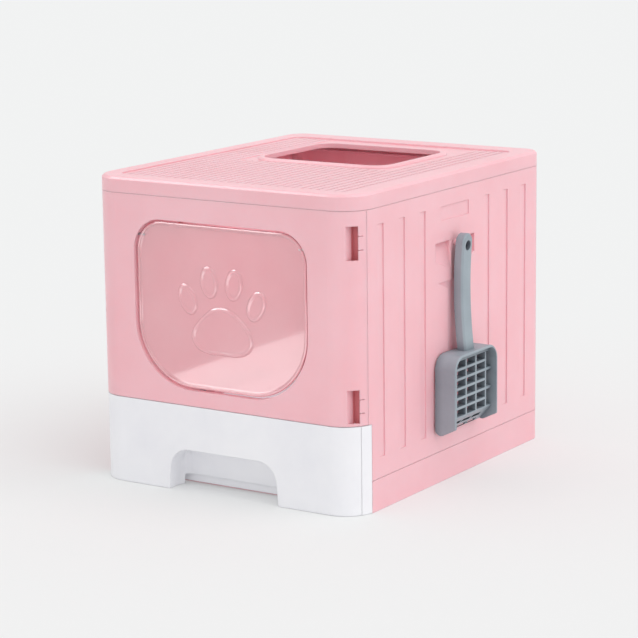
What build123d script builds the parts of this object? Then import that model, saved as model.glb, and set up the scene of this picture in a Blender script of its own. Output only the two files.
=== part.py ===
"""Foldable litter box: drawer base, four folding or clip-on walls, lift-off lid, swing door and scoop."""

import os
from math import atan2, degrees, radians, sqrt, tan

from build123d import *

os.makedirs("parts", exist_ok=True)

# Box: all lengths are in millimetres, +X is right, +Y is the rear, +Z is up, the floor is Z = 0
width = 400.0
depth = 482.0
height = 400.0
front_radius = 41.0
rear_radius = 25.0
skin = 3.0
base_height = 40.4
drawer_height = 113.0
lid_height = 21.0
front_wrap = 29.6
post_wrap = 35.6
rear_wrap = 16.0

# Clearances
seam = 0.5
fit = 0.3
press = 0.1
overrun = 2.0

# Base frame
floor_thickness = 3.0
floor_setback = 44.0
curb_inset = 19.0
curb_thickness = 3.0
curb_margin = 46.0
shelf_drop = 5.4
shelf_thickness = 3.0
block_inset = 28.0
block_length = 16.0
block_drop = 6.4

# Wall hinges along both sides
hinge_inset = 12.0
left_hinge_height = 72.0
right_hinge_height = 84.0
knuckle_radius = 5.0
knuckle_length = 14.0
lug_length = 8.0
lug_drop = 14.0
rod_radius = 2.0
lug_chamfer = 2.5
hinge_margin = 111.0
hinge_count = 2

# Front posts, rear posts and the pins that the front and rear walls clip on
post_inset = 30.2
post_width = 9.2
post_front = 10.5
post_back = 20.9
post_rise = 11.0
drawer_wrap = 20.0
tenon_width = 12.0
tenon_height = 20.0
tenon_length = 11.0
tenon_foot = 6.0
pin_radius = 2.5
pin_reach = 12.0
pin_seat = 8.0
front_pin_setback = 16.5
front_pin_rise = 13.0
rear_pin_setback = 9.0
rear_pin_rise = 43.0
rear_post_front = 14.5
rear_post_back = 4.0
saddle_wall = 3.0
saddle_play = 0.6

# Front and rear walls
lip_depth = 9.0
lip_thickness = 3.0
window_inset = 7.0
window_width = 11.0
window_height = 41.8
lower_clip_rise = 24.6
upper_clip_drop = 39.6
rear_clip_rise = 77.0
jamb_thickness = 2.5
jamb_depth = 20.5
tab_height = 17.0
tab_reach = 5.0
slit = 0.9
rear_slot_inset = 8.0
rear_slot_width = 6.0

# Door opening and flap
door_side_margin = 69.0
door_sill = 20.3
door_head = 30.0
door_top_radius = 41.0
door_bottom_radius = 85.0
door_flange = 2.5
door_flange_depth = 9.0
flap_gap = 2.8
flap_axis_drop = 21.5
flap_axis_setback = 5.0
flap_rim_width = 8.0
flap_rim_thickness = 4.6
flap_thickness = 2.0
door_pin_radius = 1.5
door_pin_seat = 6.0
door_pin_reach = 8.0
door_boss_height = 12.0
door_boss_wall = 2.0
door_boss_depth = 11.0

# Side wall relief
flute_first = 82.3
flute_margin = 58.1
rear_flute_margin = 67.4
flute_count = 3
rear_flute_count = 2
flute_width = 15.6
flute_depth = 1.6
flute_foot = 26.6
flute_head = 20.7
panel_half = 35.7
panel_height = 18.3
panel_depth = 1.2
grip_half = 50.0
grip_drop = 66.0
grip_side_height = 24.0
grip_height = 37.0
grip_bottom_half = 10.0
grip_depth = 7.0
grip_wall = 2.0
grip_web_half = 12.4
grip_web_edge = 2.0
channel_gap = 15.0
channel_slope = 10.0
channel_foot = 39.6
channel_depth = 1.9
channel_top_half = 42.0
channel_half = 17.6
edge_rib = 3.0
edge_rib_depth = 5.0
edge_rib_margin = 10.0
tongue_rise = 9.0
tongue_root = 12.0
tongue_thickness = 2.4
tongue_margin = 60.0
clip_height = 14.0
clip_reach = 4.6
clip_root = 14.0
clip_thickness = 3.0

# Lid
lid_edge_chamfer = 3.2
lid_edge_break = 0.9
lid_roof = 3.0
lid_border = 26.0
lid_rear_border = 36.0
lid_border_drop = 1.0
lid_field_drop = 3.4
lid_field_radius = 16.0
hatch_half = 98.0
hatch_length = 168.0
hatch_rear_margin = 83.0
hatch_radius = 26.0
hatch_rim = 9.0
rib_width = 7.4
rib_height = 1.2
rib_pitch = 12.0
rib_margin = 6.0

# Drawer
drawer_foot = 0.6
facing_flange = 12.0
notch_half_bottom = 84.0
notch_half_top = 79.0
notch_top = 55.0
notch_radius = 28.0
notch_depth = 34.0
notch_round = 16.0
notch_wall = 2.5
notch_rear_open = 28.0
notch_rear_lift = 14.0
tray_post_gap = 1.4
tray_height = 66.0
tray_wall = 2.5
tray_draft = 3.0
tray_radius = 26.0
tray_rear_gap = 20.0
tray_rim = 3.4
tray_rim_thickness = 2.5
snap_width = 14.0
snap_thickness = 3.0
snap_length = 5.0
snap_inset = 74.0
snap_low = 22.0
snap_high = 52.0

# Scoop and the peg it hangs on
scoop_standoff = 2.0
scoop_depth = 30.0
scoop_half = 55.5
scoop_rise = 20.6
scoop_head_height = 109.0
scoop_lip_rise = 15.0
scoop_foot_radius = 8.0
scoop_top_radius = 20.0
scoop_wall = 3.0
scoop_edge = 1.2
grid_recess = 8.5
grid_thickness = 11.0
grid_foot_rise = 25.0
grid_head = 5.0
grid_half = 38.2
grid_columns = 3
grid_rows = 6
side_slot_rows = 3
grid_bar = 3.4
ramp_thickness = 3.0
ramp_rows = 2
ramp_slot = 4.0
handle_half = 12.0
handle_thickness = 12.0
handle_rise = 8.0
handle_foot_face = 22.5
handle_middle_face = 17.0
handle_top_face = 20.5
handle_edge = 2.2
hang_hole_radius = 6.5
hang_hole_drop = 15.6
hang_peg_radius = 4.0
hang_peg_engage = 4.5

# Places that follow from the sizes above
half_width = width / 2
front_face = -depth / 2
rear_face = depth / 2
front_seam = front_face + front_wrap
post_seam = front_face + post_wrap
rear_seam = rear_face - rear_wrap
lid_seam = height - lid_height
wall_foot = drawer_height + seam
wall_top = lid_seam - fit
hinge_x = half_width - hinge_inset
block_inner = half_width - block_inset
post_inner = half_width - post_inset
post_outer = post_inner + post_width
tray_half = post_inner - tray_post_gap - tray_rim
window_outer = half_width - window_inset
window_inner = window_outer - window_width
upper_clip = lid_seam - upper_clip_drop
window_centres = (drawer_height + lower_clip_rise, upper_clip)
rear_clip_centres = (drawer_height + rear_clip_rise, upper_clip)
front_pin_y = front_face + front_pin_setback
front_pin_height = drawer_height + front_pin_rise
rear_pin_y = rear_face - rear_pin_setback
rear_pin_height = drawer_height + rear_pin_rise
door_half = half_width - door_side_margin
door_bottom = drawer_height + door_sill
door_top = lid_seam - door_head
flap_axis_y = front_face + flap_axis_setback
flap_axis_height = door_top - flap_axis_drop
flute_low = base_height + flute_foot
flute_high = lid_seam - flute_head
grip_top = lid_seam - grip_drop
grip_shoulder = grip_top - grip_side_height
grip_bottom = grip_top - grip_height
channel_top = grip_bottom - channel_gap
hatch_rear = rear_face - hatch_rear_margin
hatch_front = hatch_rear - hatch_length
scoop_lip = base_height + scoop_rise
scoop_top = scoop_lip + scoop_head_height
scoop_back = half_width + scoop_standoff
scoop_face = scoop_back + scoop_depth
grid_foot = scoop_lip + grid_foot_rise
handle_top = grip_top + handle_rise


def block(x, y, z):
    """Box between pairs of limits along the three axes."""
    size = Box(x[1] - x[0], y[1] - y[0], z[1] - z[0])
    return Pos((x[0] + x[1]) / 2, (y[0] + y[1]) / 2, (z[0] + z[1]) / 2) * size


def across(x, y, z, radius):
    """Round bar along X between two x limits."""
    return Pos((x[0] + x[1]) / 2, y, z) * Rot(0, 90, 0) * Cylinder(radius, x[1] - x[0])


def along(x, y, z, radius):
    """Round bar along Y between two y limits."""
    return Pos(x, (y[0] + y[1]) / 2, z) * Rot(90, 0, 0) * Cylinder(radius, y[1] - y[0])


def outline(inset):
    """Plan of the box with its front and rear corner radii, set in from the outer face."""
    plan = Rectangle(width - 2 * inset, depth - 2 * inset)
    plan = fillet(plan.vertices().group_by(Axis.Y)[0], front_radius - inset)
    return fillet(plan.vertices().group_by(Axis.Y)[-1], rear_radius - inset)


def raised(plan, low, high):
    """Plan sketch pulled up between two heights."""
    return extrude(Pos(0, 0, low) * plan, amount=high - low, dir=(0, 0, 1))


def shell(outer, inner, low, high):
    """Upright band of the box outline between two insets."""
    return raised(outline(outer) - outline(inner), low, high)


def slab(near, far):
    """Everything between two y limits, for cutting bands of the outline apart."""
    return block((-width, width), (near, far), (-height, 2 * height))


def through_front(sketch, near, far):
    """Sketch in X and Z, pulled rearward between two distances behind the front face."""
    plane = Plane((0, front_face + near, 0), x_dir=(1, 0, 0), z_dir=(0, -1, 0))
    return extrude(plane * sketch, amount=far - near, dir=(0, 1, 0))


def profile(sketch, near, far):
    """Sketch in X and Z, pulled along Y between two y limits."""
    plane = Plane((0, near, 0), x_dir=(1, 0, 0), z_dir=(0, -1, 0))
    return extrude(plane * sketch, amount=far - near, dir=(0, 1, 0))


def through_side(sketch, near, far):
    """Sketch in Y and Z, pulled along X between two x limits."""
    return extrude(Plane.YZ.offset(near) * sketch, amount=far - near, dir=(1, 0, 0))


def both_sides(piece):
    """A right-hand piece and its mirror image."""
    return piece + mirror(piece, about=Plane.YZ)


def spread(first, last, count):
    """Evenly spaced places from a first to a last one."""
    return [first + (last - first) * k / max(count - 1, 1) for k in range(count)]


def hinge_stations():
    """Places along Y of the hinge groups."""
    return spread(front_face + hinge_margin, rear_face - hinge_margin, hinge_count)


def hinge_lugs(axis_height):
    """Right-hand lugs on the curb, one at the outer end of every wall knuckle."""
    lugs = []
    step = knuckle_length / 2 + seam + lug_length / 2
    reach = (half_width - curb_inset, hinge_x + knuckle_radius)
    for station in hinge_stations():
        middle = station + (step if station > 0 else -step)
        span = (middle - lug_length / 2, middle + lug_length / 2)
        lug = block(reach, span, (axis_height - lug_drop, axis_height + knuckle_radius))
        lug = chamfer(lug.edges().filter_by(Axis.Y).group_by(Axis.X)[-1], lug_chamfer)
        bore = (span[0] - overrun, span[1] + overrun)
        lugs.append(lug - along(hinge_x, bore, axis_height, rod_radius + press))
    return lugs


def rail_side(axis_height):
    """Right-hand curb, shelf and lugs that carry one side wall."""
    inner = half_width - curb_inset
    run = (post_seam + curb_margin, rear_seam - curb_margin)
    top = axis_height - knuckle_radius - 2 * seam
    side = block((inner, inner + curb_thickness), run, (0, top))
    shelf_top = base_height - shelf_drop + shelf_thickness
    side += block((inner, half_width - skin / 2), run, (shelf_top - shelf_thickness, shelf_top))
    for lug in hinge_lugs(axis_height):
        side += lug
    return side


def rear_post():
    """Right-hand rear corner post with the socket for its pin."""
    across_x = (post_inner, post_outer)
    top = rear_pin_height + post_rise
    post = block(across_x, (rear_face - rear_post_front, rear_face - skin / 2), (0, drawer_height))
    post += block(across_x, (rear_face - rear_post_front, rear_face - rear_post_back), (0, top))
    bore = (post_inner - overrun, post_inner + pin_seat + press)
    return post - across(bore, rear_pin_y, rear_pin_height, pin_radius + press)


def post_socket():
    """Right-hand block at the open end of the rail with the socket for a front post."""
    start = post_seam + seam / 2
    body = block((block_inner, half_width), (start, start + block_length), (0, base_height - block_drop))
    return body & raised(outline(skin / 2), -overrun, base_height)


def tenon(play):
    """Right-hand tenon of a front post, or its socket when play is added."""
    middle = (block_inner + half_width - skin) / 2
    start = post_seam - overrun
    return block(
        (middle - tenon_width / 2 - play, middle + tenon_width / 2 + play),
        (start, post_seam + tenon_length + play),
        (tenon_foot - play, tenon_foot + tenon_height + play),
    )


def base_frame():
    """U-shaped base: rails, rear panel, floor, hinge curbs and rear posts in one moulding."""
    start = post_seam + seam / 2
    base = shell(0, skin, 0, base_height) & slab(start, rear_face + overrun)
    base += shell(0, skin, 0, drawer_height) & slab(rear_seam + seam / 2, rear_face + overrun)
    floor = raised(outline(skin / 2), 0, floor_thickness)
    base += floor & slab(front_face + floor_setback, rear_face)
    base += rail_side(right_hinge_height)
    base += mirror(rail_side(left_hinge_height), about=Plane.YZ)
    base += both_sides(rear_post())
    base += both_sides(post_socket())
    return base - both_sides(tenon(press))


def front_post():
    """Right-hand white post behind the drawer front, which the front wall clips on."""
    limit = half_width + overrun
    back = front_seam - seam / 2
    foot = drawer_foot
    column = raised(outline(skin + 2 * fit), foot, drawer_height - seam)
    column &= block((post_inner, limit), (front_face, back), (-height, height))
    strip = raised(outline(0), foot, drawer_height - seam)
    strip &= block((post_inner, limit), (front_face + drawer_wrap + seam / 2, back), (-height, height))
    stub_top = front_pin_height + post_rise
    stub = block(
        (post_inner, post_outer),
        (front_face + post_front, front_face + post_back),
        (foot, stub_top),
    )
    lip = shell(0, skin, foot, drawer_height - seam) + raised(outline(skin / 2), foot, base_height)
    lip &= block((block_inner, limit), (back - skin, post_seam - seam / 2), (-height, height))
    post = column + strip + stub + lip + tenon(0)
    bore = (post_inner - overrun, post_inner + pin_seat + press)
    return post - across(bore, front_pin_y, front_pin_height, pin_radius + press)


def wall_pin(y, z):
    """Right-hand steel pin pressed into a post."""
    return across((post_inner - pin_reach, post_inner + pin_seat), y, z, pin_radius)


def hinge_rod(axis_height):
    """Right-hand rod through every knuckle of one side wall."""
    stations = hinge_stations()
    reach = knuckle_length / 2 + seam + lug_length
    return along(hinge_x, (stations[0] - reach, stations[-1] + reach), axis_height, rod_radius)


def saddle(root, opening, y, z):
    """Right-hand U-shaped clip on a wall, from its root to its open side, around a pin."""
    x = (post_inner - pin_reach + saddle_play, post_inner - saddle_play)
    reach = pin_radius + fit
    span = (min(root, opening), max(root, opening))
    clip = block(x, span, (z - reach - saddle_wall, z + reach + saddle_wall))
    past = opening + (overrun if opening > root else -overrun)
    mouth = (min(y, past), max(y, past))
    cut_x = (x[0] - overrun, x[1] + overrun)
    return clip - block(cut_x, mouth, (z - reach, z + reach)) - across(cut_x, y, z, reach)


def door_outline(grow):
    """Door opening in X and Z with small upper and large lower corners, grown all round."""
    middle = (door_top + door_bottom) / 2
    sketch = Rectangle(2 * (door_half + grow), door_top - door_bottom + 2 * grow)
    sketch = Pos(0, middle) * sketch
    sketch = fillet(sketch.vertices().group_by(Axis.Y)[0], door_bottom_radius + grow)
    return fillet(sketch.vertices().group_by(Axis.Y)[-1], door_top_radius + grow)


def door_edge(grow):
    """How far the edge of the grown door outline lies from the middle at the height of its pins."""
    rise = flap_axis_height - (door_top - door_top_radius)
    return door_half - door_top_radius + sqrt((door_top_radius + grow) ** 2 - rise**2)


def corner_window(centre):
    """Right-hand finger window in a front corner, and the jamb that lines its inner side."""
    z = (centre - window_height / 2, centre + window_height / 2)
    y = (front_face - overrun, front_seam - tab_reach)
    cut = block((window_inner, window_outer), y, z)
    jamb = block(
        (window_inner - jamb_thickness, window_inner),
        (front_face, front_face + jamb_depth),
        (max(z[0] - jamb_thickness, wall_foot), z[1] + jamb_thickness),
    )
    jamb &= raised(outline(skin / 2), 0, height)
    for side in (-1, 1):
        level = centre + side * tab_height / 2
        reach = (front_face, front_seam - tab_reach)
        cut += block((window_outer - overrun, half_width), reach, (level - slit / 2, level + slit / 2))
    return cut, jamb


def door_boss():
    """Right-hand bearing boss for a door pin."""
    y = (front_face + skin / 2, front_face + door_boss_depth)
    z = (flap_axis_height - door_boss_height / 2, flap_axis_height + door_boss_height / 2)
    edge = door_edge(0)
    return block((edge, edge + door_pin_reach + fit + door_boss_wall), y, z)


def wall_lip(band):
    """Stiffening lip along the head of a wall."""
    return shell(skin / 2, lip_depth, wall_top - lip_thickness, wall_top) & band


def front_wall():
    """Front wall with the doorway, wrapped round both front corners."""
    band = slab(front_face - overrun, front_seam - seam / 2)
    wall = shell(0, skin, wall_foot, wall_top) & band
    lip_band = slab(front_face - overrun, front_face + lip_depth)
    wall += wall_lip(lip_band)
    wall += through_front(door_outline(door_flange), skin / 2, door_flange_depth)
    wall += both_sides(door_boss())
    root = front_face + skin - fit
    clip = saddle(root, front_face + post_back, front_pin_y, front_pin_height)
    wall += both_sides(clip)
    for centre in window_centres:
        cut, jamb = corner_window(centre)
        wall += jamb
        wall -= cut
    wall -= through_front(door_outline(0), -overrun, door_flange_depth + overrun)
    bore = (door_edge(-flap_gap), door_edge(0) + door_pin_reach + fit)
    return wall - both_sides(across(bore, flap_axis_y, flap_axis_height, door_pin_radius + fit))


def door_flap():
    """Clear swing door with a thick rim, standing forward of its pane, and sockets for its two pins."""
    near = flap_axis_setback - flap_rim_thickness / 2
    far = near + flap_rim_thickness
    flap = through_front(door_outline(-flap_gap), near, far)
    flap -= through_front(door_outline(-flap_gap - flap_rim_width), near - overrun, far - flap_thickness)
    edge = door_edge(-flap_gap)
    socket = (edge - door_pin_seat - press, edge + overrun)
    return flap - both_sides(across(socket, flap_axis_y, flap_axis_height, door_pin_radius + press))


def door_pin():
    """Right-hand pin that the flap swings on."""
    reach = (door_edge(-flap_gap) - door_pin_seat, door_edge(0) + door_pin_reach)
    return across(reach, flap_axis_y, flap_axis_height, door_pin_radius)


def rear_wall():
    """Plain fluted rear wall, clipped on the rear pins."""
    band = slab(rear_seam + seam / 2, rear_face + overrun)
    wall = shell(0, skin, wall_foot, wall_top) & band
    lip_band = slab(rear_face - lip_depth, rear_face + overrun)
    wall += wall_lip(lip_band)
    root = rear_face - skin + fit
    clip = saddle(root, rear_face - rear_post_front, rear_pin_y, rear_pin_height)
    wall += both_sides(clip)
    for middle in spread(flute_first, half_width - rear_flute_margin, rear_flute_count):
        wedge = Polygon(
            (middle - flute_width / 2, rear_face + overrun),
            (middle - flute_width / 2, rear_face),
            (middle + flute_width / 2, rear_face - flute_depth),
            (middle + flute_width / 2, rear_face + overrun),
            align=None,
        )
        wall -= both_sides(raised(wedge, drawer_height + flute_foot, flute_high))
    for centre in rear_clip_centres:
        z = (centre - clip_height / 2, centre + clip_height / 2)
        outer = half_width - rear_slot_inset
        slot = block((outer - rear_slot_width, outer), (rear_seam + tab_reach, rear_face), z)
        wall -= both_sides(slot)
    return wall


def flutes():
    """Shallow wedge flutes of the right wall, deepest along their rear edge."""
    cuts = None
    for place in spread(flute_first, rear_face - flute_margin, flute_count):
        for side in (-1, 1):
            middle = side * place
            wedge = Polygon(
                (half_width + overrun, middle - flute_width / 2),
                (half_width, middle - flute_width / 2),
                (half_width - flute_depth, middle + flute_width / 2),
                (half_width + overrun, middle + flute_width / 2),
                align=None,
            )
            cut = raised(wedge, flute_low, flute_high)
            cuts = cut if cuts is None else cuts + cut
    return cuts


def grip_cut():
    """Hand grip: a pocket that is deepest under its upper edge and runs out below."""
    wedge = Polygon(
        (half_width, grip_bottom),
        (half_width + overrun, grip_bottom),
        (half_width + overrun, grip_top),
        (half_width - grip_depth, grip_top),
        align=None,
    )
    face = Polygon(
        (-grip_half, grip_top),
        (-grip_half, grip_shoulder),
        (-grip_bottom_half, grip_bottom),
        (grip_bottom_half, grip_bottom),
        (grip_half, grip_shoulder),
        (grip_half, grip_top),
        align=None,
    )
    reach = (half_width - grip_depth - overrun, half_width + overrun)
    return profile(wedge, -grip_half, grip_half) & through_side(face, *reach)


def grip_housing():
    """Wall that closes the hand grip on the inside."""
    inner = half_width - grip_depth - grip_wall
    wedge = Polygon(
        (half_width - skin / 2, grip_bottom - grip_wall),
        (half_width - skin / 2, grip_top + grip_wall),
        (inner, grip_top + grip_wall),
        (inner, grip_top - grip_wall),
        align=None,
    )
    return profile(wedge, -grip_half - grip_wall, grip_half + grip_wall)


def scoop_channel():
    """Shallow channel below the grip, behind the scoop's handle."""
    face = Polygon(
        (-channel_top_half, channel_top),
        (-channel_half, channel_top - channel_slope),
        (-channel_half, base_height + channel_foot),
        (channel_half, base_height + channel_foot),
        (channel_half, channel_top - channel_slope),
        (channel_top_half, channel_top),
        align=None,
    )
    return through_side(face, half_width - channel_depth, half_width + overrun)


def wall_clips():
    """Clip tongues of the right wall that reach behind the front and rear walls."""
    clips = None
    inner = skin + seam + clip_thickness
    ends = (
        (front_seam - clip_reach, front_seam + seam, front_seam + clip_root, window_centres),
        (rear_seam + clip_reach, rear_seam - seam, rear_seam - clip_root, rear_clip_centres),
    )
    for tip, edge, root, centres in ends:
        for centre in centres:
            z = (centre - clip_height / 2, centre + clip_height / 2)
            reach = slab(min(tip, root), max(tip, root))
            pad = slab(min(edge, root), max(edge, root))
            clip = shell(skin + seam, inner, *z) & reach
            clip += shell(skin / 2, inner, *z) & pad
            clips = clip if clips is None else clips + clip
    return clips & block((0, width), (front_face, rear_face), (0, height))


def grip_web():
    """Web across the grip of the right wall, flush with its outer face, that carries the peg."""
    reach = (half_width - grip_depth, half_width)
    web = block(reach, (-grip_web_half, grip_web_half), (grip_bottom, grip_top))
    return chamfer(web.edges().filter_by(Axis.Z).group_by(Axis.X)[-1], grip_web_edge)


def hang_peg():
    """Peg on the web of the right wall that the scoop hangs on."""
    tip = half_width + handle_top_face - handle_thickness + hang_peg_engage
    z = handle_top - hang_hole_drop + hang_hole_radius - fit - hang_peg_radius
    return across((half_width - grip_depth, tip), 0, z, hang_peg_radius)


def side_wall(axis_height, has_peg):
    """Right-hand side wall that folds inward on its knuckles."""
    right = block((0, width), (front_seam + seam / 2, rear_seam - seam / 2), (-height, 2 * height))
    wall = shell(0, skin, base_height + seam, wall_top)
    rib_low = axis_height + knuckle_radius + edge_rib_margin
    ribs = shell(skin / 2, skin + edge_rib_depth, rib_low, wall_top - edge_rib_margin)
    middle = (front_seam + seam / 2 + edge_rib, rear_seam - seam / 2 - edge_rib)
    wall += ribs - slab(*middle)
    tongue_run = slab(front_face + tongue_margin, rear_face - tongue_margin)
    tongue_inner = skin + seam + tongue_thickness
    tongue = shell(skin + seam, tongue_inner, wall_top - tongue_root, lid_seam + tongue_rise)
    tongue += shell(skin / 2, tongue_inner, wall_top - tongue_root, wall_top)
    wall += tongue & tongue_run
    wall &= right
    wall -= block((0, width), (front_face, post_seam + seam / 2), (0, drawer_height))
    wall += grip_housing()
    wall -= flutes() + grip_cut() + scoop_channel()
    panel = (half_width - panel_depth, half_width + overrun)
    wall -= block(panel, (-panel_half, panel_half), (flute_high - panel_height, flute_high))
    wall += wall_clips()
    for station in hinge_stations():
        span = (station - knuckle_length / 2, station + knuckle_length / 2)
        web_z = (axis_height - knuckle_radius, axis_height + knuckle_radius)
        knuckle = block((hinge_x, half_width - skin / 2), span, web_z)
        knuckle += along(hinge_x, span, axis_height, knuckle_radius)
        bore = (span[0] - overrun, span[1] + overrun)
        wall += knuckle - along(hinge_x, bore, axis_height, rod_radius + fit)
    if has_peg:
        wall += grip_web() + hang_peg()
    return wall


def hatch_outline(grow):
    """Opening of the lid in plan, grown all round."""
    middle = (hatch_front + hatch_rear) / 2
    size = RectangleRounded(
        2 * (hatch_half + grow), hatch_rear - hatch_front + 2 * grow, hatch_radius + grow
    )
    return Pos(0, middle) * size


def lid_ribs(field_top):
    """Rows of anti-slip ribs on the sunken field, in front of the opening and along both its sides."""
    ribs = None
    near = front_face + lid_border + rib_margin
    far = rear_face - lid_rear_border - rib_margin
    reach = half_width - lid_border - rib_margin
    rows = int(2 * reach / rib_pitch)
    rim = hatch_half + hatch_rim + rib_margin
    z = (field_top - rib_height, field_top + rib_height)
    for row in range(rows + 1):
        x = (row - rows / 2) * rib_pitch
        end = far if abs(x) - rib_width / 2 > rim else hatch_front - hatch_rim - rib_margin
        rib = block((x - rib_width / 2, x + rib_width / 2), (near, end), z)
        ribs = rib if ribs is None else ribs + rib
    return ribs


def lid():
    """Lift-off lid with a sunken ribbed field and a rimmed opening at the rear."""
    border_top = height - lid_border_drop
    field_top = height - lid_field_drop
    cover = raised(outline(0), lid_seam, border_top)
    cover = chamfer(cover.faces().sort_by(Axis.Z)[-1].edges(), lid_edge_chamfer)
    for face in cover.faces().sort_by(Axis.Z)[-1:]:
        cover = chamfer(face.edges(), lid_edge_break)
    field_width = width - 2 * lid_border
    field_depth = depth - lid_border - lid_rear_border
    field = Pos(0, (lid_border - lid_rear_border) / 2) * RectangleRounded(
        field_width, field_depth, lid_field_radius
    )
    cover -= raised(field, field_top, height)
    under = field_top - lid_roof
    cover -= raised(outline(skin), lid_seam - overrun, under)
    cover += lid_ribs(field_top)
    rim = raised(hatch_outline(hatch_rim), field_top - lid_roof / 2, height)
    rim = chamfer(rim.faces().sort_by(Axis.Z)[-1].edges(), height - field_top - lid_border_drop)
    cover += rim
    cover -= raised(hatch_outline(0), lid_seam, height + overrun)
    return cover


def notch_outline(grow):
    """Finger notch of the drawer front in X and Z, open at the floor, grown at its sides and top."""
    sketch = Polygon(
        (-notch_half_bottom - grow, -overrun),
        (notch_half_bottom + grow, -overrun),
        (notch_half_top + grow, notch_top + grow),
        (-notch_half_top - grow, notch_top + grow),
        align=None,
    )
    return fillet(sketch.vertices().group_by(Axis.Y)[-1], notch_radius + grow)


def notch_solid(grow, far):
    """Cave behind the finger notch, grown at its sides and top."""
    return through_front(notch_outline(grow), -overrun, far)


def finger_cave():
    """Room for the fingers, with drafted sides and its inner edges well rounded."""
    plan = Pos(0, front_face) * Rectangle(2 * (notch_half_bottom + press), 2 * notch_depth)
    plan = fillet(plan.vertices().group_by(Axis.Y)[-1], notch_round)
    lean = degrees(atan2(notch_half_bottom - notch_half_top, notch_top + overrun))
    form = extrude(Pos(0, 0, -overrun) * plan, amount=notch_top + 2 * overrun, taper=lean)
    roof_height = notch_top + 2 * overrun
    roof = Pos(front_face, notch_top + press - roof_height / 2) * Rectangle(2 * notch_depth, roof_height)
    roof = fillet(roof.vertices().sort_by(Axis.Y)[-2:].sort_by(Axis.X)[-1], notch_round)
    cave = notch_solid(0, notch_depth + press)
    return cave & form & through_side(roof, -half_width, half_width)


def snap_tabs(play):
    """Tabs that hold the drawer front to the tray, or their slots when play is added."""
    tabs = None
    place = half_width - snap_inset
    x = (place - snap_width / 2 - play, place + snap_width / 2 + play)
    y = (front_face + skin / 2, front_face + skin + snap_length)
    for level in (snap_low, snap_high):
        tab = block(x, y, (level - snap_thickness / 2 - play, level + snap_thickness / 2 + play))
        tabs = tab if tabs is None else tabs + tab
    return both_sides(tabs)


def drawer_front():
    """White drawer front that wraps both corners, with a finger cave at its foot."""
    band = slab(front_face - overrun, front_face + drawer_wrap - seam / 2)
    top = drawer_height - fit
    facing = shell(0, skin, drawer_foot, top) & band
    flange = shell(skin / 2, facing_flange, top - skin, top)
    side = tray_half
    flange &= block((-side, side), (front_face, front_face + facing_flange), (0, height))
    facing += flange
    outer = notch_solid(notch_wall, notch_depth + notch_wall)
    facing += outer & block((-width, width), (front_face + skin / 2, 0), (drawer_foot, height))
    facing -= finger_cave()
    rear_open = (front_face + notch_rear_open, front_face + notch_depth + 2 * notch_wall)
    facing -= block((-width, width), rear_open, (-overrun, notch_rear_lift))
    return facing + snap_tabs(0)


def tray_plan(half, near, far):
    """Plan of the tray between two y limits, with rounded rear corners."""
    plan = Pos(0, (near + far) / 2) * Rectangle(2 * half, far - near)
    return fillet(plan.vertices().group_by(Axis.Y)[-1], tray_radius)


def tray_form(inset, low, near):
    """Drafted tray body, set in from its outer walls, from a floor height to the rim."""
    rise = tray_height - low
    lean = rise * tan(radians(tray_draft))
    far = rear_seam - tray_rear_gap - inset - lean
    base = tray_plan(tray_half - inset - lean, front_face - lean, far)
    form = extrude(Pos(0, 0, low) * base, amount=rise, taper=-tray_draft)
    return form & slab(near, rear_face)


def drawer_tray():
    """White litter tray behind the drawer front, open above, running on the base floor."""
    near = front_face + skin + fit
    foot = floor_thickness + fit
    tray = tray_form(0, foot, near)
    rim_far = rear_seam - tray_rear_gap + tray_rim
    rim = tray_plan(tray_half + tray_rim, near, rim_far)
    tray += raised(rim, tray_height - tray_rim_thickness, tray_height)
    tray &= raised(outline(skin + fit), 0, height)
    cave_far = notch_depth + notch_wall + seam
    cave = notch_solid(notch_wall + seam, cave_far)
    bulge = notch_solid(notch_wall + seam + tray_wall, cave_far + tray_wall)
    hollow = tray_form(tray_wall, foot + tray_wall, near + tray_wall)
    hollow += raised(
        tray_plan(tray_half - tray_wall, near + tray_wall, rear_seam - tray_rear_gap - tray_wall),
        tray_height - press,
        tray_height + overrun,
    )
    tray -= hollow - bulge
    tray -= cave
    return tray - snap_tabs(press)


def scoop_plan(inset, foot):
    """Outline of the scoop's head in Y and Z, set in from its walls, down to a foot height."""
    top = scoop_top - inset
    sketch = Pos(0, (top + foot) / 2) * Rectangle(2 * (scoop_half - inset), top - foot)
    return fillet(sketch.vertices().group_by(Axis.Y)[-1], scoop_top_radius - inset)


def scoop_inside():
    """Room between the side walls of the scoop's head, from its back to its face."""
    plan = scoop_plan(scoop_wall, scoop_lip - overrun)
    return through_side(plan, scoop_back - overrun, scoop_face + overrun)


def scoop_back_region(face, lift):
    """What lies behind the scoop's grid and ramp, up to a face and raised by a lift."""
    sketch = Polygon(
        (scoop_back - overrun, scoop_top + overrun),
        (face, scoop_top + overrun),
        (face, grid_foot + lift),
        (scoop_back, scoop_lip + lift),
        (scoop_back - overrun, scoop_lip + lift),
        align=None,
    )
    return profile(sketch, -scoop_half - overrun, scoop_half + overrun)


def scoop_side_profile():
    """Side view of the scoop's head in X and Z: a rounded foot that rises to the front lip."""
    sketch = Polygon(
        (scoop_back, scoop_lip),
        (scoop_face, scoop_lip + scoop_lip_rise),
        (scoop_face, scoop_top),
        (scoop_back, scoop_top),
        align=None,
    )
    foot = sketch.vertices().sort_by(Axis.Y)[0]
    return fillet(foot, scoop_foot_radius)


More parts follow.
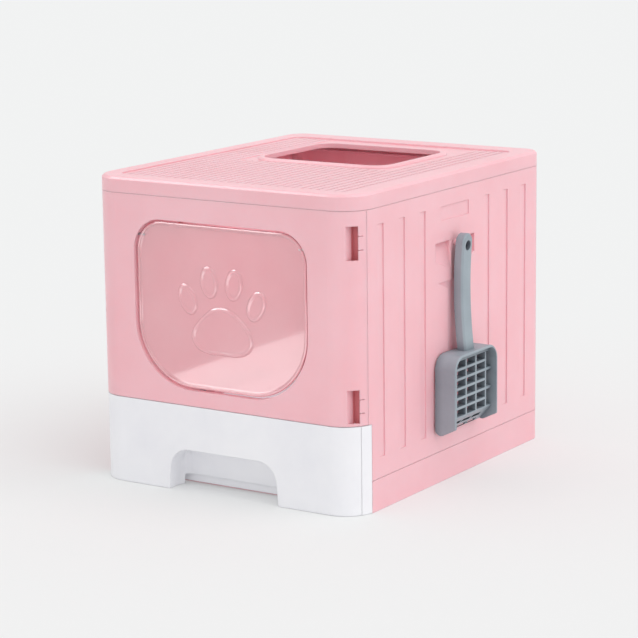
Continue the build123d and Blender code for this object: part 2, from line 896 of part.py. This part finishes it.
def scoop_head():
    """Scoop head: walls round a sunken grid that runs back to a slotted lip."""
    head = through_side(scoop_plan(0, scoop_lip - overrun), scoop_back, scoop_face)
    head &= profile(scoop_side_profile(), -scoop_half - overrun, scoop_half + overrun)
    head = chamfer(head.faces().sort_by(Axis.X)[-1].edges(), scoop_edge)
    inside = scoop_inside()
    behind = scoop_back_region(scoop_face - grid_recess, 0)
    hollow = scoop_back_region(scoop_face - grid_recess - grid_thickness, ramp_thickness)
    return head - (inside - behind) - (inside & hollow)


def grid_slots(y, rows, low, high, x):
    """Column of openings between two heights, parted by bars."""
    slots = None
    pitch = (high - low) / rows
    for row in range(rows):
        foot = low + row * pitch
        slot = block(x, y, (foot + grid_bar / 2, foot + pitch - grid_bar / 2))
        slots = slot if slots is None else slots + slot
    return slots


def scoop_holes():
    """Openings of the scoop: the grid, a row of long slots beside it and short slots in the ramp."""
    grid_x = (scoop_face - grid_recess - grid_thickness - overrun, scoop_face - grid_recess + overrun)
    ramp_x = (scoop_back - overrun, scoop_face - grid_recess)
    head = scoop_top - scoop_wall - grid_head
    side = (grid_half + grid_bar / 2, scoop_half - scoop_wall)
    holes = both_rows(grid_slots(side, side_slot_rows, grid_foot, head, grid_x))
    column = 2 * grid_half / grid_columns
    for index in range(grid_columns):
        middle = (index - (grid_columns - 1) / 2) * column
        y = (middle - (column - grid_bar) / 2, middle + (column - grid_bar) / 2)
        holes += grid_slots(y, grid_rows, grid_foot, head, grid_x)
        for level in spread(scoop_lip, grid_foot, ramp_rows + 2)[1:-1]:
            holes += block(ramp_x, y, (level - ramp_slot / 2, level + ramp_slot / 2))
    return holes & scoop_inside()


def both_rows(piece):
    """A piece on the rear side of the scoop and its mirror image."""
    return piece + mirror(piece, about=Plane.XZ)


def scoop_handle():
    """Bowed handle with a round end and a hanging hole."""
    foot = scoop_top - scoop_wall
    middle = (foot + handle_top) / 2
    places = (
        (half_width + handle_foot_face, foot),
        (half_width + handle_middle_face, middle),
        (half_width + handle_top_face, handle_top),
    )
    outer = ThreePointArc(*places)
    inner = ThreePointArc(*[(x - handle_thickness, z) for x, z in places])
    edge = Wire([outer, Line(outer @ 1, inner @ 1), inner, Line(inner @ 0, outer @ 0)])
    bar = profile(make_face(edge), -handle_half, handle_half)
    face = Pos(0, (foot + handle_top) / 2) * Rectangle(2 * handle_half, handle_top - foot)
    face = fillet(face.vertices().group_by(Axis.Y)[-1], handle_half - press)
    bar &= through_side(face, 0, width)
    front = half_width + handle_middle_face - handle_edge
    outer_edges = [edge for edge in bar.edges() if edge.center().X > front]
    rounded = [edge for edge in outer_edges if edge.center().Z > foot + handle_edge]
    return chamfer(rounded, handle_edge)


def scoop():
    """Grey litter scoop hanging on the right wall."""
    piece = scoop_head() - scoop_holes() + scoop_handle()
    level = handle_top - hang_hole_drop
    return piece - across((half_width, width), 0, level, hang_hole_radius)


def left(piece):
    """Mirror image of a right-hand piece."""
    return mirror(piece, about=Plane.YZ)


nodes = {
    "base_frame": base_frame(),
    "right_front_post": front_post(),
    "left_front_post": left(front_post()),
    "right_front_pin": wall_pin(front_pin_y, front_pin_height),
    "left_front_pin": left(wall_pin(front_pin_y, front_pin_height)),
    "right_rear_pin": wall_pin(rear_pin_y, rear_pin_height),
    "left_rear_pin": left(wall_pin(rear_pin_y, rear_pin_height)),
    "right_hinge_rod": hinge_rod(right_hinge_height),
    "left_hinge_rod": left(hinge_rod(left_hinge_height)),
    "right_wall": side_wall(right_hinge_height, True),
    "left_wall": left(side_wall(left_hinge_height, False)),
    "front_wall": front_wall(),
    "rear_wall": rear_wall(),
    "lid": lid(),
    "door_flap": door_flap(),
    "right_door_pin": door_pin(),
    "left_door_pin": left(door_pin()),
    "drawer_front": drawer_front(),
    "drawer_tray": drawer_tray(),
    "scoop": scoop(),
}

for name, piece in nodes.items():
    export_step(piece, f"parts/{name}.step")
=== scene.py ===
from math import cos, pi, radians, sin, tau

import bmesh
import bpy
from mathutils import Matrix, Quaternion, Vector


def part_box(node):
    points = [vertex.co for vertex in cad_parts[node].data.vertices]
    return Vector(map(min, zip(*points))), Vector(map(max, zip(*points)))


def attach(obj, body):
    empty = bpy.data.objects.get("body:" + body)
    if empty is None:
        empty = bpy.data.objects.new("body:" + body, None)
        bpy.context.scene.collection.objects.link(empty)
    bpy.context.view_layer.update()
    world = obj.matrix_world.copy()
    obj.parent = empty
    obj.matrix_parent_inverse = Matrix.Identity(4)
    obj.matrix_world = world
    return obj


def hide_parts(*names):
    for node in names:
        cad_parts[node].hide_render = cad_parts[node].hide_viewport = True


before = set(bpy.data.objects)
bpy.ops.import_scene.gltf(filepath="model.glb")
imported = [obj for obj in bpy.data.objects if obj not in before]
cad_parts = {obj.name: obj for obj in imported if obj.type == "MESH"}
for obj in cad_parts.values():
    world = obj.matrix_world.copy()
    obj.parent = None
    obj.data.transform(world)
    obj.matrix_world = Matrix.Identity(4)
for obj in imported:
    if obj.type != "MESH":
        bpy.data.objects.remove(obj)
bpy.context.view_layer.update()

# All lengths are in metres and all angles in degrees, in the frame of the part

# Camera at the photograph's place
camera_azimuth = 32.988
camera_elevation = 11.618
camera_roll = -0.732
camera_distance = 3.1705
camera_target = (-0.00885, 0.0, 0.18658)
camera_lens = 134.03
camera_sensor = 36.0

# Even surround, and the pale backdrop that the camera sees in its place
surround_colour = (255, 255, 255)
surround_strength = 0.83
backdrop_colour = (242, 242, 242)

# Broad key light from the upper right
key_azimuth = 88.0
key_elevation = 58.0
key_spread = 55.0
key_strength = 0.95

# Wide floor, with a faint glow that keeps the shadow light
floor_half = 60.0
floor_colour = (209, 210, 210)
floor_glow = 0.215
floor_roughness = 0.9

# Soft light in the lid's opening, which fills the cabin
hatch_light_size = (0.18, 0.15)
hatch_light_place = (0.0, 0.074, 0.388)
hatch_light_power = 0.45
hatch_light_spread = 160.0

# White card on the floor in front, which only shows as a sheen on glossy pieces
card_left = -0.465
card_right = 0.5
card_near = -0.64
card_far = -1.5
card_lift = 0.001
card_strength = 2.2

# Soft white panel above on the left, which only shows as highlights on rounded edges
panel_azimuth = -52.0
panel_elevation = 44.0
panel_distance = 2.0
panel_half_width = 0.75
panel_half_height = 0.7
panel_strength = 6.0

# Curve of sRGB levels: top level, end and slope of the straight foot, offset and power of the rest
level_top = 255
foot_end = 0.04045
foot_slope = 12.92
curve_offset = 0.055
curve_power = 2.4

# Finishes: two tints as sRGB levels, range of roughness, size of mottling, size and depth of grain
pink_finish = {
    "light": (247, 195, 203),
    "deep": (244, 187, 195),
    "roughness": (0.32, 0.42),
    "mottle_size": 0.09,
    "grain_size": 0.0011,
    "grain_depth": 0.00008,
}
white_finish = {
    "light": (247, 247, 250),
    "deep": (240, 240, 245),
    "roughness": (0.38, 0.5),
    "mottle_size": 0.08,
    "grain_size": 0.0011,
    "grain_depth": 0.00008,
}
grey_finish = {
    "light": (161, 173, 181),
    "deep": (145, 156, 165),
    "roughness": (0.36, 0.5),
    "mottle_size": 0.05,
    "grain_size": 0.0012,
    "grain_depth": 0.0001,
}
clear_finish = {
    "light": (255, 200, 207),
    "deep": (254, 192, 200),
    "roughness": (0.06, 0.12),
    "mottle_size": 0.07,
    "grain_size": 0.004,
    "grain_depth": 0.00002,
}
steel_finish = {
    "light": (190, 192, 196),
    "deep": (150, 153, 158),
    "roughness": (0.22, 0.36),
    "mottle_size": 0.012,
    "grain_size": 0.0006,
    "grain_depth": 0.00004,
}
# Painted shade: darker pink for the floors of the lid's slots, in place of the dark inside seen through
# them
slot_painted_shade_finish = {
    "light": (222, 162, 170),
    "deep": (212, 150, 158),
    "roughness": (0.6, 0.75),
    "mottle_size": 0.02,
    "grain_size": 0.0011,
    "grain_depth": 0.00005,
}
# Painted shade: deep pink of the webs behind the finger windows, darker than the box's pink to stand for
# the shaded inside
web_painted_shade_finish = {
    "light": (224, 136, 141),
    "deep": (213, 124, 130),
    "roughness": (0.5, 0.65),
    "mottle_size": 0.03,
    "grain_size": 0.0011,
    "grain_depth": 0.00005,
}

# Further sockets of the looks that need them
pink_sockets = {
    "Subsurface_Weight": 0.35,
    "Subsurface_Radius": (1.0, 0.55, 0.6),
    "Subsurface_Scale": 0.004,
}
clear_sockets = {
    "Transmission_Weight": 0.42,
    "IOR": 1.49,
    "Coat_Weight": 1.0,
    "Coat_IOR": 1.7,
    "Coat_Roughness": 0.04,
}
steel_sockets = {"Metallic": 1.0}

# Painted shade: dark colour laid into the scoop's recesses, and how near a neighbour has to be for the
# shade to be painted
grey_painted_shade = (56, 68, 80)
painted_shade_reach = 0.014

# Noise of every finish, and the softly moulded edge of every piece
mottle_detail = 4.0
mottle_roughness = 0.55
tint_shares = (0.3, 0.7)
grain_detail = 3.0
grain_strength = 0.35
edge_radius = 0.0012

# Angle from which an edge is shaded sharp
sharp_angle = 40.0

# Slotted strips between the lid's ribs
lid_field_top = 0.3966
groove_pitch = 0.012
groove_count = 28
strip_width = 0.0048
strip_height = 0.0007
strip_sink = 0.0002
strip_front = -0.209
strip_rear = 0.199
hatch_front = -0.025
hatch_reach = 0.120
slot_pitch = 0.0075
slot_length = 0.0046
slot_width = 0.0022
slot_floor_height = 0.0001

# Web that closes the front wall's corner behind each finger window, coloured darker as painted shade for
# the shaded inside seen through it
web_heights = (0.1376, 0.3394)
web_half_height = 0.0233
web_inner = 0.1797
web_outer = 0.1886
web_front = -0.2216
web_rear = -0.2132
web_thickness = 0.0020

# Flap: corners, rim, pane and the rounding of the rim's edges
flap_top_radius = 0.0382
flap_bottom_radius = 0.0822
flap_rim = 0.0056
flap_pane = 0.0020
flap_edge = 0.0016
flap_corner_steps = 20
edge_turn_share = 0.3
edge_foot_share = 0.6

# Share of a normal along Y from which a face of the flap is shaded flat
flat_share = 0.999

# Raised paw print on the flap: the pad, the two inner and the two outer toes
paw_centre = (0.0, 0.236)
pad_half_width = 0.043
pad_half_height = 0.033
pad_drop = 0.026
pad_spread_share = 0.07
pad_spread_waves = 2
pad_point_share = 0.1
pad_point_waves = 3
toe_half_width = 0.0135
toe_half_length = 0.0205
toe_inner_reach = 0.019
toe_inner_rise = 0.038
toe_inner_lean = 8.0
toe_outer_reach = 0.052
toe_outer_rise = 0.014
toe_outer_lean = 24.0

# Relief: set-in and height from its foot to its dished top, as shares of its edge and its height
relief_height = 0.0020
relief_edge = 0.0060
relief_shares = ((0.0, 0.0), (0.12, 0.55), (0.35, 1.0), (0.65, 0.95), (0.85, 0.6), (1.0, 0.5))
relief_steps = 56


def linear(levels):
    """Linear colour of sRGB levels, with full cover."""
    colour = []
    for level in levels:
        share = level / level_top
        if share <= foot_end:
            colour.append(share / foot_slope)
        else:
            colour.append(((share + curve_offset) / (1 + curve_offset)) ** curve_power)
    return colour + [1.0]


def set_sockets(node, sockets):
    """Values on a node's own sockets, which are named with underscores for spaces."""
    for name, value in sockets.items():
        node.inputs[name.replace("_", " ")].default_value = value


def material(name, **sockets):
    """New node material and its shader."""
    made = bpy.data.materials.new(name)
    made.use_nodes = True
    shader = made.node_tree.nodes["Principled BSDF"]
    set_sockets(shader, sockets)
    return made, shader


def add_node(made, kind, **sockets):
    """Further node of a material."""
    node = made.node_tree.nodes.new(kind)
    set_sockets(node, sockets)
    return node


def colour_sockets(sockets):
    """Those of a node's sockets that hold a colour."""
    return [socket for socket in sockets if socket.type == "RGBA"]


def tint_ramp(made, deep, light):
    """Colour ramp between two tints over the middle of a noise."""
    ramp = add_node(made, "ShaderNodeValToRGB")
    for element, share, levels in zip(ramp.color_ramp.elements, tint_shares, (deep, light)):
        element.position = share
        element.color = linear(levels)
    return ramp


def surface(name, light, deep, roughness, mottle_size, grain_size, grain_depth, **sockets):
    """Material with a soft mottled colour, uneven gloss, soft edges and a fine grain, and its shader."""
    made, shader = material(name, **sockets)
    links = made.node_tree.links
    place = add_node(made, "ShaderNodeTexCoord")
    noise = {"Detail": mottle_detail, "Roughness": mottle_roughness}
    mottle = add_node(made, "ShaderNodeTexNoise", Scale=1 / mottle_size, **noise)
    links.new(place.outputs["Object"], mottle.inputs["Vector"])
    tint = tint_ramp(made, deep, light)
    links.new(mottle.outputs["Fac"], tint.inputs["Fac"])
    links.new(tint.outputs["Color"], shader.inputs["Base Color"])
    smooth, rough = roughness
    gloss = add_node(made, "ShaderNodeMapRange", To_Min=smooth, To_Max=rough)
    links.new(mottle.outputs["Fac"], gloss.inputs["Value"])
    links.new(gloss.outputs["Result"], shader.inputs["Roughness"])
    grain = add_node(made, "ShaderNodeTexNoise", Scale=1 / grain_size, Detail=grain_detail)
    links.new(place.outputs["Object"], grain.inputs["Vector"])
    soft_edge = add_node(made, "ShaderNodeBevel", Radius=edge_radius)
    bump = add_node(made, "ShaderNodeBump", Strength=grain_strength, Distance=grain_depth)
    links.new(soft_edge.outputs["Normal"], bump.inputs["Normal"])
    links.new(grain.outputs["Fac"], bump.inputs["Height"])
    links.new(bump.outputs["Normal"], shader.inputs["Normal"])
    return made, shader


def pink_plastic():
    """Satin pink polypropylene of the box, which lets a little light through."""
    return surface("pink_plastic", **pink_finish, **pink_sockets)[0]


def white_plastic():
    """Satin white polypropylene of the drawer."""
    return surface("white_plastic", **white_finish)[0]


def grey_plastic():
    """Blue-grey plastic of the scoop, with painted shade in its recesses."""
    made, shader = surface("grey_plastic", **grey_finish)
    links = made.node_tree.links
    tint = shader.inputs["Base Color"].links[0].from_socket
    # Painted shade: ambient occlusion blends the colour towards a dark blue-grey in the scoop's recesses
    # and holes
    painted_shade_ao = add_node(made, "ShaderNodeAmbientOcclusion", Distance=painted_shade_reach)
    mix = add_node(made, "ShaderNodeMix")
    mix.data_type = "RGBA"
    painted_shade_colour, unshaded_colour = colour_sockets(mix.inputs)
    painted_shade_colour.default_value = linear(grey_painted_shade)
    links.new(painted_shade_ao.outputs["AO"], mix.inputs["Factor"])
    links.new(tint, unshaded_colour)
    links.new(colour_sockets(mix.outputs)[0], shader.inputs["Base Color"])
    return made


def clear_plastic():
    """Slightly milky clear plastic of the flap."""
    return surface("clear_plastic", **clear_finish, **clear_sockets)[0]


def steel():
    """Bright drawn steel of the pins and rods."""
    return surface("steel", **steel_finish, **steel_sockets)[0]


def slot_shade():
    """Painted shade: deep pink for the floors of the lid's narrow slots, standing in for the dark inside
    seen through them.
    """
    return surface("slot_shade", **slot_painted_shade_finish)[0]


def web_shade():
    """Painted shade: deep pink of the webs behind the finger windows, darker than the box's own pink
    where the inside lies in shade.
    """
    return surface("web_shade", **web_painted_shade_finish)[0]


def card_material(name, strength, **sockets):
    """Pale card with an even glow of its own."""
    colours = {"Base_Color": linear(floor_colour), "Emission_Color": linear(backdrop_colour)}
    return material(name, **colours, Emission_Strength=strength, **sockets)[0]


def stage_material():
    """Dull pale floor with a faint glow, which keeps the object's shadow."""
    return card_material("stage", floor_glow, Roughness=floor_roughness, Specular_IOR_Level=0.0)


def finished(name, mesh, look):
    """Object made from a bmesh, shaded smooth but for its sharp edges."""
    bmesh.ops.recalc_face_normals(mesh, faces=mesh.faces)
    data = bpy.data.meshes.new(name)
    mesh.to_mesh(data)
    mesh.free()
    data.shade_smooth()
    data.set_sharp_from_angle(angle=radians(sharp_angle))
    data.materials.append(look)
    return placed(name, data)


def placed(name, data):
    """Object of the scene that holds the given data."""
    made = bpy.data.objects.new(name, data)
    bpy.context.scene.collection.objects.link(made)
    return made


def rectangle(left, right, front, rear):
    """Corners of a rectangle in turn."""
    return (left, front), (right, front), (right, rear), (left, rear)


def flat_face(places):
    """Mesh of a single flat face with its corners at the places."""
    mesh = bmesh.new()
    mesh.faces.new([mesh.verts.new(place) for place in places])
    return mesh


def make_floor():
    """Wide pale studio floor."""
    corners = rectangle(-floor_half, floor_half, -floor_half, floor_half)
    mesh = flat_face([(x, y, 0.0) for x, y in corners])
    finished("floor", mesh, stage_material())


def make_floor_card():
    """White card lying on the floor in front of the object."""
    corners = rectangle(card_left, card_right, card_far, card_near)
    make_card("floor_card", [(x, y, card_lift) for x, y in corners], card_strength)


def make_panel():
    """White panel above on the left, square to the line to the object."""
    back = back_vector(panel_azimuth, panel_elevation)
    side = back.cross(Vector((0, 0, 1))).normalized()
    rise = side.cross(back)
    middle = Vector(camera_target) + back * panel_distance
    corners = rectangle(-panel_half_width, panel_half_width, -panel_half_height, panel_half_height)
    make_card("panel", [middle + side * across + rise * up for across, up in corners], panel_strength)


def make_card(name, places, strength):
    """White card with its corners at the places, seen in reflections alone."""
    card = finished(name, flat_face(places), card_material(name, strength))
    card.visible_camera = False
    card.visible_diffuse = False
    card.visible_transmission = False
    card.visible_shadow = False


def back_vector(azimuth, elevation):
    """Direction from the object to a viewer."""
    a, e = radians(azimuth), radians(elevation)
    return Vector((sin(a) * cos(e), -cos(a) * cos(e), sin(e)))


def facing(back):
    """Turn of a camera or light that looks along the other way of a direction."""
    return (-back).to_track_quat("-Z", "Y")


def make_camera():
    """Camera at the photograph's place."""
    data = bpy.data.cameras.new("camera")
    data.lens = camera_lens
    data.sensor_width = camera_sensor
    camera = placed("camera", data)
    back = back_vector(camera_azimuth, camera_elevation)
    camera.location = Vector(camera_target) + back * camera_distance
    camera.rotation_mode = "QUATERNION"
    camera.rotation_quaternion = facing(back) @ Quaternion((0, 0, 1), radians(camera_roll))
    bpy.context.scene.camera = camera


def make_key():
    """Broad soft key light from the upper right."""
    data = bpy.data.lights.new("key_light", "SUN")
    data.energy = key_strength
    data.angle = radians(key_spread)
    light = placed("key_light", data)
    light.rotation_mode = "QUATERNION"
    light.rotation_quaternion = facing(back_vector(key_azimuth, key_elevation))


def make_hatch_light():
    """Small soft light that shines down from the lid's opening."""
    data = bpy.data.lights.new("hatch_light", "AREA")
    data.shape = "RECTANGLE"
    data.size, data.size_y = hatch_light_size
    data.energy = hatch_light_power
    data.spread = radians(hatch_light_spread)
    light = placed("hatch_light", data)
    light.location = hatch_light_place
    light.visible_camera = False
    light.visible_glossy = False


def make_world():
    """Even white surround, which the camera sees as the pale backdrop."""
    world = bpy.data.worlds.new("world")
    world.use_nodes = True
    nodes, links = world.node_tree.nodes, world.node_tree.links
    surround = nodes["Background"]
    set_sockets(surround, {"Color": linear(surround_colour), "Strength": surround_strength})
    backdrop = nodes.new("ShaderNodeBackground")
    set_sockets(backdrop, {"Color": linear(backdrop_colour)})
    rays = nodes.new("ShaderNodeLightPath")
    mix = nodes.new("ShaderNodeMixShader")
    links.new(rays.outputs["Is Camera Ray"], mix.inputs["Fac"])
    links.new(surround.outputs["Background"], mix.inputs[1])
    links.new(backdrop.outputs["Background"], mix.inputs[2])
    links.new(mix.outputs["Shader"], nodes["World Output"].inputs["Surface"])
    bpy.context.scene.world = world


def flap_outline(inset):
    """Points of the flap's outline in X and Z, set in from its edge, with round corners."""
    low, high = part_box("door_flap")
    corners = (
        (high.x, low.z, -pi / 2, flap_bottom_radius),
        (high.x, high.z, 0.0, flap_top_radius),
        (low.x, high.z, pi / 2, flap_top_radius),
        (low.x, low.z, pi, flap_bottom_radius),
    )
    points = []
    for x, z, start, radius in corners:
        side = 1 if x > 0 else -1
        rise = 1 if z == high.z else -1
        middle_x, middle_z = x - side * radius, z - rise * radius
        reach = radius - inset
        for step in range(flap_corner_steps + 1):
            angle = start + step / flap_corner_steps * pi / 2
            points.append((middle_x + reach * cos(angle), middle_z + reach * sin(angle)))
    return points


def flap_section(front, back, pane):
    """Inset and depth of the rings of the flap's rim, from its back over its front to the pane."""
    turn = flap_edge * edge_turn_share
    return (
        (flap_edge, back),
        (turn, back - turn),
        (0.0, back - flap_edge),
        (0.0, front + flap_edge),
        (turn, front + turn),
        (flap_edge, front),
        (flap_rim - 2 * flap_edge, front),
        (flap_rim - flap_edge - turn, front + turn),
        (flap_rim - flap_edge, front + flap_edge),
        (flap_rim - flap_edge + turn, pane - flap_edge * edge_foot_share),
        (flap_rim, pane),
    )


def turns():
    """Even angles round a closed outline of the relief."""
    return [step / relief_steps * tau for step in range(relief_steps)]


def pad_outline(inset):
    """Main pad of the paw: a broad heart-like drop with a wavy foot."""
    points = []
    for angle in turns():
        spread = pad_spread_share * cos(pad_spread_waves * angle)
        point = pad_point_share * sin(pad_point_waves * angle)
        swell = 1 + spread - point
        x = (pad_half_width - inset) * swell * cos(angle)
        z = (pad_half_height - inset) * swell * sin(angle)
        points.append((paw_centre[0] + x, paw_centre[1] + z - pad_drop))
    return points


def toe_outline(reach, rise, lean, inset):
    """One toe of the paw: a leaning oval."""
    tip = radians(lean)
    points = []
    for angle in turns():
        x = (toe_half_width - inset) * cos(angle)
        z = (toe_half_length - inset) * sin(angle)
        across = reach + x * cos(tip) - z * sin(tip)
        up = rise + x * sin(tip) + z * cos(tip)
        points.append((paw_centre[0] + across, paw_centre[1] + up))
    return points


def paw_outlines(inset):
    """Outlines of the pad and the four toes, set in from their edges."""
    toes = (
        (-toe_outer_reach, toe_outer_rise, toe_outer_lean),
        (-toe_inner_reach, toe_inner_rise, toe_inner_lean),
        (toe_inner_reach, toe_inner_rise, -toe_inner_lean),
        (toe_outer_reach, toe_outer_rise, -toe_outer_lean),
    )
    return [pad_outline(inset)] + [toe_outline(reach, rise, lean, inset) for reach, rise, lean in toes]


def ring(mesh, points, y):
    """Closed ring of vertices at one depth."""
    return [mesh.verts.new((x, y, z)) for x, z in points]


def bridge(mesh, outer, inner):
    """Band of faces between two rings of the same count."""
    for k in range(len(outer)):
        n = (k + 1) % len(outer)
        mesh.faces.new((outer[k], outer[n], inner[n], inner[k]))


def bridge_all(mesh, rings):
    """Bands of faces between each ring and the next."""
    for outer, inner in zip(rings, rings[1:]):
        bridge(mesh, outer, inner)


def ring_edges(mesh, verts):
    """Edges round a ring, made where they are missing."""
    edges = []
    for k in range(len(verts)):
        pair = (verts[k], verts[(k + 1) % len(verts)])
        edges.append(mesh.edges.get(pair) or mesh.edges.new(pair))
    return edges


def paw_reliefs(mesh, pane):
    """Rings of each raised part of the paw, from its foot on the pane to its dished top."""
    insets, heights = zip(*relief_shares)
    levels = [paw_outlines(relief_edge * inset) for inset in insets]
    depths = [pane - relief_height * height for height in heights]
    return [[ring(mesh, points, y) for points, y in zip(part, depths)] for part in zip(*levels)]


def make_flap(look):
    """Clear flap with a rounded rim and a raised paw print on its pane."""
    low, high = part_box("door_flap")
    front, back = low.y, high.y
    pane = back - flap_pane
    mesh = bmesh.new()
    rings = [ring(mesh, flap_outline(inset), y) for inset, y in flap_section(front, back, pane)]
    bridge_all(mesh, rings)
    mesh.faces.new(rings[0])
    edges = ring_edges(mesh, rings[-1])
    for relief in paw_reliefs(mesh, pane):
        bridge_all(mesh, relief)
        mesh.faces.new(relief[-1])
        edges += ring_edges(mesh, relief[0])
    bmesh.ops.triangle_fill(mesh, edges=edges, use_beauty=True)
    flap = finished("flap_panel", mesh, look)
    for face in flap.data.polygons:
        face.use_smooth = abs(face.normal.y) < flat_share
    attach(flap, "door")
    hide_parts("door_flap")


def groove_places():
    """Middle, front end and rear end of every groove between the lid's ribs."""
    for row in range(groove_count):
        x = (row - (groove_count - 1) / 2) * groove_pitch
        rear = strip_rear if abs(x) > hatch_reach else hatch_front
        yield x, strip_front, rear


def slot_ends(front, rear):
    """Front and rear ends of the slots along one groove."""
    count = int((rear - front) / slot_pitch)
    start = (front + rear - count * slot_pitch) / 2 + (slot_pitch - slot_length) / 2
    return [(start + k * slot_pitch, start + k * slot_pitch + slot_length) for k in range(count)]


def slotted_strip(mesh, x, front, rear):
    """Flat strip along one groove with a row of slots right through it."""
    xs = (x - strip_width / 2, x - slot_width / 2, x + slot_width / 2, x + strip_width / 2)
    ys = [front] + [y for pair in slot_ends(front, rear) for y in pair] + [rear]
    levels = (lid_field_top - strip_sink, lid_field_top + strip_height)
    low, high = ([[mesh.verts.new((u, v, z)) for u in xs] for v in ys] for z in levels)
    columns, rows = len(xs) - 1, len(ys) - 1
    for j in range(rows):
        for i in range(columns):
            # The middle cell of every second row is a slot
            if i == 1 and j % 2 == 1:
                wall_in(mesh, low, high, i, j)
                continue
            mesh.faces.new((high[j][i], high[j][i + 1], high[j + 1][i + 1], high[j + 1][i]))
            mesh.faces.new((low[j][i], low[j + 1][i], low[j + 1][i + 1], low[j][i + 1]))
        for i in (0, columns):
            mesh.faces.new((low[j][i], low[j + 1][i], high[j + 1][i], high[j][i]))
    for j in (0, rows):
        for i in range(columns):
            mesh.faces.new((low[j][i], low[j][i + 1], high[j][i + 1], high[j][i]))


def wall_in(mesh, low, high, i, j):
    """Four walls of one slot."""
    turn = ((j, i), (j, i + 1), (j + 1, i + 1), (j + 1, i))
    for (a, b), (c, d) in zip(turn, turn[1:] + turn[:1]):
        mesh.faces.new((low[a][b], low[c][d], high[c][d], high[a][b]))


def prism(mesh, outline, levels):
    """Closed prism over an outline in X and Y between two heights."""
    foot, head = ([mesh.verts.new((x, y, z)) for x, y in outline] for z in levels)
    mesh.faces.new(head)
    mesh.faces.new(foot[::-1])
    bridge(mesh, foot, head)


def slot_floor(mesh, x, front, rear):
    """Thin plate of painted shade at the foot of one slot, tucked under the strip round it."""
    half = slot_width / 2 + strip_sink
    outline = rectangle(x - half, x + half, front - strip_sink, rear + strip_sink)
    prism(mesh, outline, (lid_field_top - strip_sink / 2, lid_field_top + slot_floor_height))


def make_lid_slots(looks):
    """Slotted strips between the ribs of the lid, and the floors of their slots painted in shade."""
    strips, floors = bmesh.new(), bmesh.new()
    for x, front, rear in groove_places():
        slotted_strip(strips, x, front, rear)
        for start, end in slot_ends(front, rear):
            slot_floor(floors, x, start, end)
    for name, mesh, look in (("lid_strips", strips, "pink_plastic"), ("lid_slots", floors, "slot_shade")):
        piece = finished(name, mesh, looks[look])
        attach(piece, "top")


def make_window_webs(look):
    """Angled web that closes the front wall's corner behind each finger window."""
    mesh = bmesh.new()
    rib, plate = web_inner + web_thickness, web_rear - web_thickness
    outline = (
        (web_inner, web_front),
        (rib, web_front),
        (rib, plate),
        (web_outer, plate),
        (web_outer, web_rear),
        (web_inner, web_rear),
    )
    for middle in web_heights:
        prism(mesh, outline, (middle - web_half_height, middle + web_half_height))
    webs = finished("window_webs", mesh, look)
    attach(webs, "front")


def dress_nodes(looks):
    """Materials of the CAD nodes, by what each is moulded from."""
    for name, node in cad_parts.items():
        node.data.materials.clear()
        node.data.materials.append(looks[slot_of(name)])


def slot_of(name):
    """Material slot of a CAD node."""
    if "pin" in name or "rod" in name:
        return "steel"
    if "drawer" in name or "post" in name:
        return "white_plastic"
    if name == "door_flap":
        return "clear_plastic"
    if name == "scoop":
        return "grey_plastic"
    return "pink_plastic"


looks = {
    "pink_plastic": pink_plastic(),
    "white_plastic": white_plastic(),
    "grey_plastic": grey_plastic(),
    "clear_plastic": clear_plastic(),
    "steel": steel(),
    "slot_shade": slot_shade(),
    "web_shade": web_shade(),
}

bpy.context.scene.view_settings.view_transform = "Standard"
make_world()
make_floor()
make_floor_card()
make_panel()
make_key()
make_hatch_light()
make_camera()
dress_nodes(looks)
make_flap(looks["clear_plastic"])
make_lid_slots(looks)
make_window_webs(looks["web_shade"])
